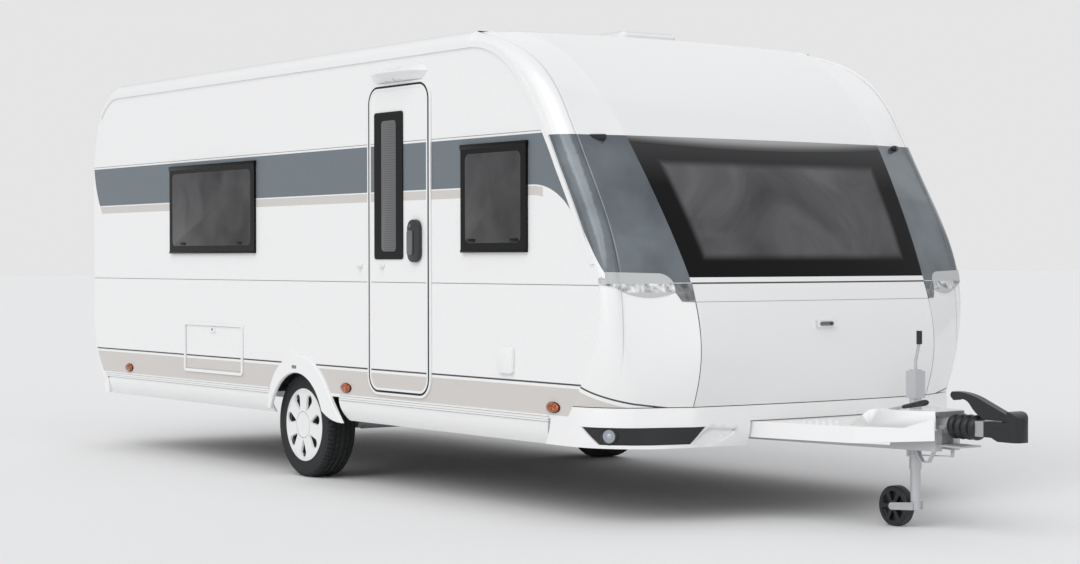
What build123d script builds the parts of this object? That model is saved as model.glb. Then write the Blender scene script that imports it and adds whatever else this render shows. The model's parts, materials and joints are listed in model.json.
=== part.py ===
"""Travel caravan on one axle, standing on its road wheels and its jockey wheel.

Millimetres. +X is forward, to the coupling, +Y is left and +Z is up. Everything is laid out from the
ground under the middle of the axle, and save() moves it so that the origin is under the middle of its box.
"""
from build123d import *
from math import atan2, cos, hypot, radians, sin
import os

os.makedirs("parts", exist_ok=True)

# Body
half_width = 1250.0
wall = 31.0                 # sandwich walls and moulded ends
floor_top = 545.0
floor_thick = 39.0
side_foot = 517.0           # lower edge of the side walls
mid_seam = 1196.0           # seam between the lower and the upper side panels
roof_line = 2487.0          # top edge of the side walls
roof_rise = 68.0            # from there to the top of the roof
roof_front = 1920.0         # where the roof starts to fall to the nose
roof_rear = -2511.0         # where it starts to fall to the tail
tail_reach = 3000.0         # from the axle back to the tail
seat = 0.3                  # a seated piece's gap to its seat
panel_gap = 4.0             # round what opens

# Nose
window_top = 1957.0
window_foot = 1233.0
rail_height = 27.0          # strip between the window and the locker lid
lid_top = window_foot - rail_height
lid_foot = 590.0
bumper_foot = 385.0
bumper_wall = 25.0

# Running gear
tyre_r = 318.0
tyre_width = 187.0
rim_r = 190.0
cover_r = 221.0
cover_face = half_width - 56        # outer face of the wheel cover
stub_r = 20.0
running_gap = 0.05          # radial, round shafts
axle_forward = 165.0        # axle tube ahead of the wheels
axle_height = 342.0
axle_tube_r = 52.0
arch_proud = 22.0           # wheel arch trim, out from the wall
wheel_box_r = 372.0
wheel_box_in = half_width - 295      # inner wall of the wheel box

# Chassis
rail_y = 560.0
rail_width = 50.0
rail_foot = 396.0
arm_top = 501.7             # drawbar arms
arm_width = 46.0
arm_start = 1500.0
arm_end = 4200.0
arm_end_y = 62.0

# Coupling and jockey wheel
coupling_front = 4690.0
coupling_z = 520.0
ball_r = 25.05
ball_x = 4630.0
jockey_x = 3985.0
jockey_tube_r = 30.0
jockey_inner_r = 25.0
jockey_wheel_r = 100.0
jockey_trail = 130.0
jockey_top = 780.0

middle_x = (coupling_front - tail_reach) / 2


def save(name, shape):
    """Write one sub-part, moved into the caravan's own frame."""
    export_step(Pos(-middle_x, 0, 0) * shape, f"parts/{name}.step")


def outline(start, steps):
    """Closed face from a start point and rows of (arc's middle point or None for a line, end point)."""
    edges, here = [], start
    for via, end in steps:
        edges.append(Line(here, end) if via is None else ThreePointArc(here, via, end))
        here = end
    if hypot(here[0] - start[0], here[1] - start[1]) > 1e-6:
        edges.append(Line(here, start))
    return make_face(Curve() + edges)


def across(face, y_low, y_high):
    """Extrude an (x, z) face from y_low to y_high."""
    return Pos(0, y_low, 0) * extrude(Plane.XZ * face, amount=-(y_high - y_low))


def upright(face, z_low, z_high):
    """Extrude an (x, y) face from z_low to z_high."""
    return Pos(0, 0, z_low) * extrude(face, amount=z_high - z_low)


def block(x, y, z):
    """Box from (low, high) pairs."""
    size = [high - low for low, high in (x, y, z)]
    centre = [(high + low) / 2 for low, high in (x, y, z)]
    return Pos(*centre) * Box(*size)


def rounded(x, z, radius):
    """Rounded (x, z) rectangle from (low, high) pairs."""
    shape = RectangleRounded(x[1] - x[0], z[1] - z[0], radius)
    return Pos((x[0] + x[1]) / 2, (z[0] + z[1]) / 2) * shape


def mirrored(shape):
    return mirror(shape, about=Plane.XZ)


def group(*shapes):
    """One node's solids, which don't touch."""
    return Compound([solid for shape in shapes for solid in shape.solids()])


def both_sides(*shapes):
    return group(*shapes, *[mirrored(shape) for shape in shapes])


def rod(start, end, radius):
    """Round bar between two points."""
    line = Line(start, end)
    plane = Plane(origin=start, z_dir=line % 0)
    return extrude(plane * Circle(radius), amount=line.length)


# Side profile: middle point of an arc or None, end point, as (x, z)
foot_front = (2790, side_foot)
foot_rear = (-2765, side_foot)
side_steps = [
    ((-2892, 696), (-2940, 1000)),
    (None, (-2949, 1744)),
    ((-2925, 2060), (-2845, 2313)),
    ((-2718, 2436), (roof_rear, roof_line)),
    (None, (roof_front, roof_line)),
    ((2170, 2437), (2370, 2310)),
    ((2560, 2076), (2736, 1799)),
    ((2860, 1598), (2990, 1370)),
    ((3066, 1160), (3040, 927)),
    ((2930, 722), foot_front),
]
side_face = outline(foot_rear, side_steps)
body_prism = across(side_face, -half_width - 1, half_width + 1)


def skin(side, seam, bow, corner_in, corner_out, seam_in, back, thick, proud=0):
    """Band across the body: a face in the plane through the side edge and the panel seam.

    side and seam are (x, z). The skin turns in through corner_in while it stands out by corner_out,
    runs straight to the seam, seam_in from the side, and bows out by bow at the middle. It is made
    from proud above that surface to thick below it.
    """
    rise = hypot(seam[0] - side[0], seam[1] - side[1])
    out = ((seam[0] - side[0]) / rise, (seam[1] - side[1]) / rise)
    plane = Plane(origin=(side[0], 0, side[1]), x_dir=(0, 1, 0), z_dir=(out[1], 0, -out[0]))
    corner_r = (corner_in ** 2 + corner_out ** 2) / (2 * corner_in)
    turn = atan2(corner_out, corner_r - corner_in)
    centre = half_width - corner_r

    def row(depth):
        radius = corner_r - depth
        return [
            (half_width - depth, -back),
            (half_width - depth, 0),
            (centre + radius * cos(turn / 2), radius * sin(turn / 2)),
            (centre + radius * cos(turn), radius * sin(turn)),
            (half_width - seam_in, rise - depth),
            (0, rise + bow - depth),
        ]

    def half(points, sign):
        foot, start, via, end, edge, _ = [(sign * y, v) for y, v in points]
        return [Line(foot, start), ThreePointArc(start, via, end), Line(end, edge)]

    edges = []
    for points in (row(-proud), row(thick)):
        left, right, top = (-points[4][0], points[4][1]), points[4], points[5]
        edges += half(points, -1) + [ThreePointArc(left, top, right)] + half(points, 1)
    for sign in (-1, 1):
        edges.append(Line((sign * (half_width + proud), -back), (sign * (half_width - thick), -back)))
    return plane * make_face(Curve() + edges)


def shell(stations, thick=wall, proud=0, back=40):
    faces = [skin(*row, back=back, thick=thick, proud=proud) for row in stations]
    return loft(Sketch() + faces) - body_prism


# Stations: side edge (x, z), panel seam (x, z), bow, corner in, corner out, seam in from the side
roof_crown = 3.0
roof_station = (roof_front, roof_line), (roof_front, roof_line + roof_rise), roof_crown, 70, 62, 310
nose_stations = [
    roof_station,
    ((2340, 2335), (2386, 2389), 4, 88, 60, 325),
    ((2650, 1945), (2772, 2015), 24, 110, 104, 365),
    ((2870, 1590), (3008, 1655), 34, 105, 98, 395),
    ((3055, 1215), (3244, 1212), 38, 78, 72, 440),
    ((3046, 940), (3320, 924), 26, 90, 110, 435),
    ((2840, 600), (3262, 592), 50, 160, 300, 435),
    ((2800, 555), (3246, 545), 50, 165, 320, 435),
]
tail_stations = [
    ((roof_rear, roof_line), (roof_rear, roof_line + roof_rise), roof_crown, 70, 62, 310),
    ((-2845, 2313), (-2884, 2359), 6, 88, 54, 325),
    ((-2949, 1744), (-2992, 1750), 8, 90, 40, 350),
    ((-2943, 1197), (-2988, 1197), 10, 90, 42, 350),
    ((-2892, 696), (-2948, 690), 10, 90, 50, 350),
    ((-2740, 470), (-2820, 440), 10, 90, 70, 350),
]
nose_shell = shell(nose_stations)
tail_shell = shell(tail_stations[::-1])

# The seams between the corner mouldings and the middle, as (y, z)
seam_low, seam_high = half_width - 435, half_width - 314
seam_steps = [(None, (sign * y, z)) for sign, rows in (
    (1, ((seam_low, window_foot), (seam_high, 2429), (seam_high, 2700))),
    (-1, ((seam_high, 2700), (seam_high, 2429), (seam_low, window_foot), (seam_low, 400)))) for y, z in rows]
seam_prism = extrude(Plane.YZ * outline((seam_low, 400), seam_steps), amount=4000)


def facing(face, x_low, x_high):
    """Extrude a (y, z) face from x_low to x_high."""
    return Pos(x_low, 0, 0) * extrude(Plane.YZ * face, amount=x_high - x_low)


def slab(z_low, z_high):
    return block((1000, 4000), (-2000, 2000), (z_low, z_high))


nose_middle = nose_shell & seam_prism
nose_corners = (nose_shell - seam_prism) & slab(lid_foot, 3000)

# Lamp clusters, let into the corners and proud of them: outline as (distance in from the side, z)
lamp_proud = 6.0
lamp_steps = [
    (None, (-20, 1229)), (None, (14, 1229)), (None, (16, 1261)), (None, (275, 1254)),      # upper lens
    ((318, 1240), (345, 1205)), (None, (437, 1205)), (None, (437, 1111)), (None, (371, 1114)),      # inner corner
    (None, (345, 1163)), ((200, 1136), (48, 1188)),     # lower lens
]


def from_side(point):
    return half_width - point[0], point[1]


lamp_face = outline(from_side((-20, 1201)), [(via and from_side(via), from_side(end)) for via, end in lamp_steps])
lamp_zone = facing(lamp_face, 2900, 3600)
lamp_zone = group(lamp_zone, mirrored(lamp_zone))
front_lamps = shell(nose_stations[3:6], proud=lamp_proud) & lamp_zone & block((0, 4000), (-half_width, half_width), (0, 2000))
nose_corners = nose_corners - lamp_zone
for name, sign in (("nose_corner_left", 1), ("nose_corner_right", -1)):
    side = [s for s in nose_corners.solids() if s.center().Y * sign > 0]
    save(name, group(*side))
save("nose_panel", nose_middle & slab(window_top, 3000))
save("front_window", nose_middle & slab(window_foot, window_top - seat))
save("nose_rail", nose_middle & slab(lid_top, window_foot - seat))

# Locker lid, with a flush lock in its middle
lid_half = seam_low - panel_gap
lock_z, lock_face = 991.0, 3353.0
lid_zone = block((2000, 4000), (-lid_half, lid_half), (lid_foot, lid_top - seat))
locker_lid = nose_middle & lid_zone
lock = block((lock_face - 22, lock_face), (-65, 65), (lock_z - 18, lock_z + 18))
lock = fillet(lock.edges().filter_by(Axis.X), 6)
grip = block((lock_face - 22, lock_face + 5), (-44, 44), (lock_z - 10, lock_z + 10))
save("locker_lid", locker_lid + lock + grip)

# Roof: the same section as the first stations
roof_face = skin(*roof_station, back=40, thick=wall)
roof = extrude(roof_face, amount=-(roof_front - roof_rear)) - body_prism
roof_lights = [(900, 0, 700, 500), (-900, 0, 900, 600), (1700, 0, 400, 400)]    # x, y, length, width
light_rise = 55.0
lights = []
for x, y, length, width in roof_lights:
    roof -= Pos(x, y, roof_line) * Box(length - 60, width - 60, 400)
    foot = roof_line + roof_rise + roof_crown + seat
    dome = Pos(x, y, foot + light_rise / 2) * Box(length, width, light_rise)
    dome = fillet(dome.edges().filter_by(Axis.Z), 40)
    dome = chamfer(dome.faces().sort_by(Axis.Z)[-1].edges(), 20)
    lights.append(dome)
save("roof", roof)
save("roof_lights", group(*lights))

tail_foot = 480.0
rear_shell = (tail_shell & block((-3500, 0), (-2000, 2000), (tail_foot, 3000))) - block(
    (-3500, -2600), (-600, 600), (1300, 1850))
rear_lamp = block((-3500, -2700), (half_width - 240, half_width - 70), (620, 1000))
rear_lamp_zone = group(rear_lamp, mirrored(rear_lamp))
save("rear_lamps", group(rear_shell & rear_lamp_zone))
save("rear_shell", rear_shell - rear_lamp_zone)
save("rear_window", block((-3010, -2998.3), (-620, 620), (1280, 1870)))

# Openings in the side walls, as (x low, x high), (z low, z high), corner radius
door_zone = (900, 1520), (577, 2298), 85
door_window_zone = (957, 1262), (1325, 2157), 18
hatch_zone = (-1475, -675), (600, 902), 30
window_zones = {
    "right": [((-1685, -490), (1370, 1940), 14), ((1852, 2460), (1365, 1932), 14)],
    "left": [((-1685, -490), (1370, 1940), 14), ((1852, 2460), (1365, 1932), 14), ((100, 900), (1450, 1940), 14)],
}
window_lap = 25.0
frame_width = 20.0


def grown(zone, by):
    (x0, x1), (z0, z1), radius = zone
    return rounded((x0 - by, x1 + by), (z0 - by, z1 + by), max(radius + by, 5))


arch_hole = across(Pos(0, tyre_r) * Circle(wheel_box_r + 8), -2000, 2000)
for side, sign in (("right", -1), ("left", 1)):
    low, high = sorted((sign * half_width, sign * (half_width - wall)))
    panel = across(side_face, low, high) - arch_hole
    for zone in window_zones[side]:
        panel -= across(grown(zone, -window_lap), low - 1, high + 1)
    if side == "right":
        panel -= across(grown(door_zone, frame_width), low - 1, high + 1)
        panel -= across(grown(hatch_zone, 12), low - 1, high + 1)
    cut = block((-4000, 4000), (-2000, 2000), (0, mid_seam))
    save(f"side_wall_{side}_lower", panel & cut)
    save(f"side_wall_{side}_upper", panel - cut)

pane_thick = 16.0
panes = []
for side, sign in (("right", -1), ("left", 1)):
    for zone in window_zones[side]:
        y = sorted((sign * (half_width + seat), sign * (half_width + pane_thick)))
        panes.append(across(grown(zone, 0), *y))
save("side_windows", group(*panes))

# Entrance door, hinged at its rear edge, in an aluminium frame
door_out = -half_width - 8
door_in = -half_width + wall
frame = across(grown(door_zone, frame_width), -half_width - 2, door_in)
frame -= across(grown(door_zone, 0), -2000, 0)
leaf_zone = (door_zone[0][0] + seat, door_zone[0][1] - panel_gap), (
    door_zone[1][0] + panel_gap, door_zone[1][1] - panel_gap), door_zone[2] - panel_gap
save("door_frame", frame)
leaf = across(grown(leaf_zone, 0), door_out, door_in) - across(grown(door_window_zone, -20), -2000, 0)
save("door_leaf", leaf)
save("door_window", across(grown(door_window_zone, 0), door_out - 6, door_out - seat))
handle = across(rounded((1333, 1458), (1308, 1546), 20), door_out - 24, door_out - seat)
save("door_handle", handle)

# Service hatch, hinged along its top edge
frame = across(grown(hatch_zone, 12), -half_width - 2, door_in) - across(grown(hatch_zone, 0), -2000, 0)
save("hatch_frame", frame)
hatch = (hatch_zone[0][0] + panel_gap, hatch_zone[0][1] - panel_gap), (
    hatch_zone[1][0] + panel_gap, hatch_zone[1][1] - seat), 26
save("hatch_door", across(grown(hatch, 0), -half_width - 2, door_in))

# Light over the door, boat shaped: height, (x low, x high), how far it stands out
canopy_rows = [(2322, (985, 1435), 34), (2368, (913, 1507), 88), (2406, (960, 1460), 12)]
canopy_faces = []
for z, (x0, x1), out in canopy_rows:
    row = outline((x0, -half_width - seat), [
        ((x0 + (x1 - x0) / 5, -half_width - 0.8 * out), ((x0 + x1) / 2, -half_width - out)),
        ((x1 - (x1 - x0) / 5, -half_width - 0.8 * out), (x1, -half_width - seat))])
    canopy_faces.append(Pos(0, 0, z) * row)
save("canopy_light", loft(Sketch() + canopy_faces, ruled=True))

# Floor, wheel boxes and the gas locker behind the nose
inside = half_width - wall
well = (wheel_box_r ** 2 - (floor_top - floor_thick - tyre_r) ** 2) ** 0.5 + seat
floor = block((-2735, 2740), (-inside, inside), (floor_top - floor_thick, floor_top))
for sign in (-1, 1):
    floor -= block((-well, well), sorted((sign * (wheel_box_in - seat), sign * 1400)), (400, 700))
save("floor", floor)
box_wall = 6.0
box = across(Pos(0, tyre_r) * Circle(wheel_box_r), wheel_box_in, half_width - 18)
box -= across(Pos(0, tyre_r) * Circle(wheel_box_r - box_wall), wheel_box_in + box_wall, 2000)
box = box & block((-500, 500), (0, 1300), (floor_top - floor_thick, 900))
save("wheel_boxes", both_sides(box))

bulkhead_x = 2700.0
bulkhead = block((bulkhead_x, bulkhead_x + 20), (-inside, inside), (floor_top, 1290))
tray = block((bulkhead_x, 3170), (-780, 780), (floor_top, floor_top + 20))
save("locker_bulkhead", bulkhead + tray)

# Front bumper: stations as height, then side's x, seam's x, bow, corner in, corner out
bumper_top = lid_foot - panel_gap
bumper_rows = [(bumper_top, 2840, 3262, 50, 160, 300), (500, 2842, 3268, 50, 170, 310), (bumper_foot, 2800, 3240, 50, 260, 400)]
bumper_seam_in = 435.0
recess = 10.0               # how deep the lamp panel lies in the bumper


def bumper_skin(proud, thick):
    faces = [skin((side, z), (seam, z), bow, corner_in, corner_out, bumper_seam_in, 190, thick, proud)
             for z, side, seam, bow, corner_in, corner_out in bumper_rows]
    return loft(Sketch() + faces) - body_prism


bumper = bumper_skin(0, bumper_wall)
panel_side = across(outline((2904, 490), [(None, (2995, 403)), (None, (3500, 403)), (None, (3500, 490))]), -2000, 2000)
panel_front = facing(outline((half_width - 515, 500), [
    (None, (half_width - 428, 395)), (None, (1400, 395)), (None, (1400, 500))]), 2600, 3600)
panel_zone = panel_side & group(panel_front, mirrored(panel_front))
sweep = facing(outline((half_width - 520, 478), [
    (None, (half_width - 690, 472)), ((half_width - 610, 425), (half_width - 430, 403))]), 3000, 3600)
sweep_zone = group(sweep, mirrored(sweep))
top_layer = bumper_skin(3, recess)
bumper = bumper - (top_layer & panel_zone) - (top_layer & sweep_zone)
inserts = bumper & panel_zone
bumper -= panel_zone
notch_half = 474.0
bumper -= block((2500, 3500), (-notch_half, notch_half), (300, 510))      # the drawbar and its cover come out here
save("front_bumper", bumper)
save("bumper_inserts", inserts)

# A round fog lamp stands in each black panel
fog_x, fog_y, fog_z, fog_r = 3044.0, half_width - 77, 447.0, 34.0
fog_way = Vector(0.57, 0.82, 0)
fog = Plane(origin=Vector(fog_x, fog_y, fog_z) - fog_way * 9, z_dir=fog_way) * Cylinder(fog_r, 30)
fog = fog - bumper_skin(seat - recess, 80)
save("front_lamps", group(front_lamps, fog, mirrored(fog)))

rear_bumper_foot = 382.0
rear_bumper = skin((-2760, tail_foot - seat), (-2850, tail_foot - seat), 10, 90, 70, 350, back=60, thick=bumper_wall)
rear_side = outline((-2600, tail_foot), [
    (None, (-2900, tail_foot)), (None, (-2868, 470)), ((-2800, 414), (-2690, rear_bumper_foot)), (None, (-2600, rear_bumper_foot))])
save("rear_bumper", (extrude(rear_bumper, amount=-98) - body_prism) & across(rear_side, -2000, 2000))

# Skirts: a section that tucks in below the floor, with a ribbed rail along the wall's foot
skirt_foot = 380.0
skirt_thick = 12.0
tuck = 40.0
rail_out = 5.0
arch_rear, arch_front = -310.0, 590.0     # the wheel arch's feet


def skirt_section(start_y):
    """(y, z) section from the wall's foot down to the skirt's."""
    low, high = skirt_foot, side_foot - seat
    return outline((start_y, high), [
        ((start_y - tuck * 0.18, (low + high) / 2), (start_y - tuck, low)),
        (None, (start_y - tuck - skirt_thick, low)),
        ((start_y - tuck * 0.18 - skirt_thick, (low + high) / 2), (start_y - skirt_thick, high))])


skirt_rear = outline((-2696, side_foot), [
    (None, (-2696, skirt_foot)), (None, (arch_rear - seat, skirt_foot)), (None, (arch_rear - seat, side_foot))])
skirt_front = outline((arch_front - 60, side_foot), [
    ((arch_front - 40, 430), (arch_front + seat, skirt_foot)), (None, (2600, skirt_foot)), (None, (2640, side_foot))])
skirts = []
for zone, x in ((skirt_rear, (-2740, arch_rear - 6)), (skirt_front, (arch_front - 40, 2640))):
    piece = facing(skirt_section(half_width), -2900, 2900) & across(zone, 0, 2000)
    rail = block(x, (half_width + seat, half_width + rail_out), (side_foot - 16, side_foot + 15))
    for z in (side_foot - 16, side_foot + 9):
        rail += block(x, (half_width + seat, half_width + rail_out + 4), (z, z + 6))
    web = block((max(x[0], -2696), x[1]), (half_width - skirt_thick, half_width + 1), (side_foot - 16, side_foot - seat))
    skirts += [piece, rail + web]
skirts = [skirts[0] + skirts[1], skirts[2] + skirts[3]]
save("skirts", both_sides(*skirts))

# Wheel arch trims: outer edge from the rear foot over the top to the front foot, then back inside
arch_steps = [
    ((-262, 580), (-130, 700)), ((50, 750), (240, 708)), ((345, 640), (430, 545)), ((530, 430), (arch_front, 366)),
    ((455, 382), (352, 425)), ((40, 638), (-280, 402)),
]
arch = across(outline((arch_rear, 402), arch_steps), half_width + seat, half_width + arch_proud)
arch = fillet(arch.faces().sort_by(Axis.Y)[-1].edges(), 8)
save("wheel_arches", both_sides(arch))

gutter = across(side_face, half_width, half_width + 10) - across(
    offset(side_face, -30), 0, 2000)
gutter = gutter & block((-2800, 3100), (0, 2000), (1300, 3000))
save("awning_rails", both_sides(gutter))

# Lamps
markers = []
for x in (-2352, 616, 2680):
    lamp = Pos(x, half_width + 6 + seat, 574) * Rot(90, 0, 0) * Cylinder(24, 12)
    markers.append(lamp)
save("marker_lamps", both_sides(*markers))

# Chassis: two rails, the drawbar's arms and three cross members
chassis = None
for sign in (-1, 1):
    rail = block((-2450, arm_start + 120), sorted((sign * rail_y, sign * (rail_y + rail_width))),
                 (rail_foot, floor_top - floor_thick))
    half = arm_width / 2
    arm_y = rail_y + half
    arm = outline((arm_start, sign * (arm_y - half)), [
        (None, (arm_end, sign * (arm_end_y - half))),
        (None, (arm_end, sign * (arm_end_y + half))),
        (None, (arm_start, sign * (arm_y + half)))])
    piece = rail + upright(arm, rail_foot, arm_top)
    chassis = piece if chassis is None else chassis + piece
for x in (-2300, 1000, 2500):
    chassis += block((x, x + 60), (-rail_y - 10, rail_y + 10), (rail_foot + 5, rail_foot + 70))
bracket = block((3835, 3865), (-118, -112), (arm_top - 5, 580)) + rod((3850, -118, 568), (3850, -96, 568), 6)
chassis += bracket
clamp = block((jockey_x - 40, jockey_x + 40), (-90, 90), (rail_foot + 40, rail_foot + 84))
v_strap = across(outline((4065, 400), [(None, p) for p in (
    (4104, 337), (4150, 337), (4189, 400), (4183, 400), (4146, 343), (4108, 343), (4071, 400))]), -88, -62)
nose_plate = block((4150, 4350), (-70, 70), (421, 429)) + block((4262, 4268), (-45, -25), (371, 425))
cable_rod = rod((4015, -75, 368), (4266, -35, 376), 3)
chassis = chassis + v_strap + nose_plate + cable_rod
chassis = chassis + block((4010, 4022), (-88, -62), (360, 400))
chassis = chassis + clamp - rod((jockey_x, 0, 300), (jockey_x, 0, 600), jockey_tube_r + seat)
save("chassis", chassis)

axle = Pos(axle_forward, 0, axle_height) * Rot(90, 0, 0) * Cylinder(axle_tube_r, 1760)
for sign in (-1, 1):
    y = sorted((sign * (rail_y + 2), sign * (rail_y + rail_width - 2)))
    axle += block((axle_forward - 60, axle_forward + 60), y, (axle_height, rail_foot))
save("axle_tube", axle)
arm_in, arm_out = 880 + seat, 925.0
hub_y = cover_face - 100
arm = across(outline((axle_forward, axle_height + 45), [
    ((axle_forward + 45, axle_height), (axle_forward, axle_height - 45)),
    (None, (0, tyre_r - 32)), ((-32, tyre_r), (0, tyre_r + 32))]), arm_in, arm_out)
arm += rod((0, arm_out - 5, tyre_r), (0, hub_y + 20, tyre_r), stub_r)
save("swing_arms", both_sides(arm))


def turned(rows):
    """Revolve (radius, y) rows about the axle line."""
    face = outline(rows[0], [(None, p) for p in rows[1:]])
    face = Plane(origin=(0, 0, tyre_r), x_dir=(0, 0, 1), z_dir=(-1, 0, 0)) * face
    return revolve(face, Axis((0, 0, tyre_r), (0, 1, 0)))


tyre_out = cover_face - 4
tyre_in = tyre_out - tyre_width
tyre = turned([(rim_r, tyre_in + 12), (rim_r, tyre_out - 12), (226, tyre_out - 8), (246, tyre_out), (284, tyre_out - 4),
               (tyre_r, tyre_out - 26), (tyre_r, tyre_in + 26), (262, tyre_in)])
rim = turned([(rim_r, tyre_in + 12), (rim_r, tyre_out - 12), (rim_r - 14, tyre_out - 12),
              (rim_r - 14, hub_y + 12), (stub_r + running_gap, hub_y + 12), (stub_r + running_gap, hub_y),
              (rim_r - 14, hub_y), (rim_r - 14, tyre_in + 12)])

# Wheel cover: a thick moulding with seven gaps that widen to its face, round a cap with a ring groove
rim_edge = tyre_out - 12
cover_thick = 13.0
cap_r = 80.0
gap_count = 7
gap_draft = 20              # degrees
cover = turned([(0, cover_face - cover_thick), (0, cover_face), (cap_r - 2, cover_face), (cap_r, cover_face - 3),
                (cap_r + 2, cover_face), (cover_r - 25, cover_face - 2), (cover_r, cover_face - 7),
                (cover_r, cover_face - 10), (rim_r - 4, cover_face - cover_thick), (rim_r - 4, rim_edge + seat),
                (rim_r - 14, rim_edge + seat), (rim_r - 14, cover_face - cover_thick)])
gap_face = outline((100, -9), [(None, (168, -34)), ((201, 0), (168, 34)), (None, (100, 9)), ((94, 0), (100, -9))])
for turn_number in range(gap_count):
    gap = Plane(origin=(0, cover_face + 0.5, tyre_r), x_dir=(0, 0, 1), z_dir=(0, -1, 0)) * extrude(
        gap_face, amount=cover_thick + 4, taper=gap_draft)
    cover -= gap.rotate(Axis((0, 0, tyre_r), (0, 1, 0)), 360 / gap_count * (turn_number + 0.5))
for name, shape in (("tyre", tyre), ("rim", rim), ("wheel_cover", cover)):
    save(f"{name}_left", shape)
    save(f"{name}_right", mirrored(shape))

# Drawbar cover over the arms: a flat deck that rises in a hump to its front end
cover_wall = 4.0
deck_z, deck_foot, hump_z, cover_front = 506.0, 425.0, 592.0, 4238.0


def cover_form(inset):
    """Outside of the cover, or its inside when inset is its wall."""
    deck = [(3250, 470 - inset), (3870, 300 - inset), (cover_front + 5 * inset, 125 - inset)]
    hump = [(3700, 240 - inset), (3880, 214 - inset), (cover_front + 5 * inset, 118 - inset)]
    foot = deck_foot - 5 * inset
    faces = []
    for rows in (deck, hump):
        start = (rows[0][0], -rows[0][1])
        faces.append(outline(start, [(None, (x, -y)) for x, y in rows[1:]] + [(None, (x, y)) for x, y in rows[::-1]]))
    body = upright(faces[0], foot, deck_z - inset)
    rise = across(outline((3650, foot), [
        (None, (3650, deck_z - inset - 1)), (None, (3742, deck_z - inset - 1)), ((3790, 530 - inset), (3830, 562 - inset)),
        ((3862, 583 - inset), (3915, hump_z - 5 - inset)), (None, (cover_front + 5 * inset, hump_z - inset)),
        (None, (cover_front + 5 * inset, foot))]), -400, 400)
    return body + (Pos(0, 0, deck_z - inset - 20) * extrude(faces[1], amount=130, taper=14) & rise)


cover_shell = cover_form(0) - cover_form(cover_wall) - Pos(jockey_x, 0, 500) * Cylinder(jockey_tube_r + 4, 400)
cover_shell -= block((3828, 3899.5), (-122, -92), (480, 620))      # slot for the handbrake's lever
save("drawbar_cover", cover_shell)

# Overrun device, bellows and coupling head
shaft_r = 24.0
overrun = rod((4055, 0, coupling_z), (4238, 0, coupling_z), 40) + rod((4230, 0, coupling_z), (4470, 0, coupling_z), shaft_r)
for sign in (-1, 1):
    overrun += block((4080, 4190), sorted((sign * 30, sign * 50)), (arm_top, coupling_z))
save("overrun", overrun)
bellows_start, bellows_end = 4238.3, 4414.0
fold_count, fold_in, fold_out = 4, 46.0, 61.0
pitch = (bellows_end - bellows_start) / fold_count
fold_steps = [((bellows_start + (i + 0.5) * pitch, fold_out), (bellows_start + (i + 1) * pitch, fold_in))
              for i in range(fold_count)]
fold_face = outline((bellows_start, fold_in), fold_steps + [
    (None, (bellows_end, shaft_r + seat)), (None, (bellows_start, shaft_r + seat))])
save("bellows", Pos(0, 0, coupling_z) * revolve(Plane.XZ * fold_face, Axis.X))

# Coupling head: its plan and its side profile, with a hood ahead of the handle
head_back, head_half, head_foot, head_top = bellows_end + seat, 42.0, 466.0, 556.0
pin_x, pin_z, pin_r = 4590.0, 573.0, 5.0
hood_back, hood_top = pin_x + 28, 610.0
head_plan = outline((head_back, -head_half), [
    (None, (coupling_front - 50, -head_half - 8)), ((coupling_front, 0), (coupling_front - 50, head_half + 8)),
    (None, (head_back, head_half))])
head_side = outline((head_back, head_foot + 16), [
    (None, (head_back, head_top)), (None, (hood_back, head_top)), (None, (hood_back, hood_top)),
    ((coupling_front - 24, 592), (coupling_front, 520)), (None, (coupling_front, 476)),
    (None, (coupling_front - 8, head_foot)), (None, (ball_x - 70, head_foot)), (None, (ball_x - 110, head_foot + 16))])
head = upright(head_plan, head_foot, hood_top + 10) & across(head_side, -100, 100)
socket = outline((0, head_foot - 1), [
    (None, (ball_r, head_foot - 1)), (None, (ball_r, 500)),
    ((ball_r * sin(radians(45)), 500 + ball_r * sin(radians(45))), (0, 500 + ball_r))])
head -= Pos(ball_x, 0, 0) * revolve(Plane.XZ * socket, Axis.Z)
head -= rod((4400, 0, coupling_z), (4470.3, 0, coupling_z), shaft_r + seat)
handle_half = 22.0
for sign in (-1, 1):
    ear = sorted((sign * (handle_half + seat), sign * (handle_half + 8)))
    head += block((pin_x - 18, pin_x + 18), ear, (head_top - 5, 590))
head += rod((pin_x, -handle_half - 8, pin_z), (pin_x, handle_half + 8, pin_z), pin_r)
save("coupling_head", head)
handle = across(outline((4272, 650), [
    ((4262, 645), (4250, 653)), ((4238, 670), (4257, 687)), ((4340, 682), (4442, 652)), (None, (4596, 592)),
    (None, (4596, 562)), (None, (4470, 562)), ((4414, 583), (4366, 626)), ((4348, 642), (4300, 652))]),
    -handle_half, handle_half)
handle -= rod((pin_x, -40, pin_z), (pin_x, 40, pin_z), pin_r + running_gap)
save("coupling_handle", handle)

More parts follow.
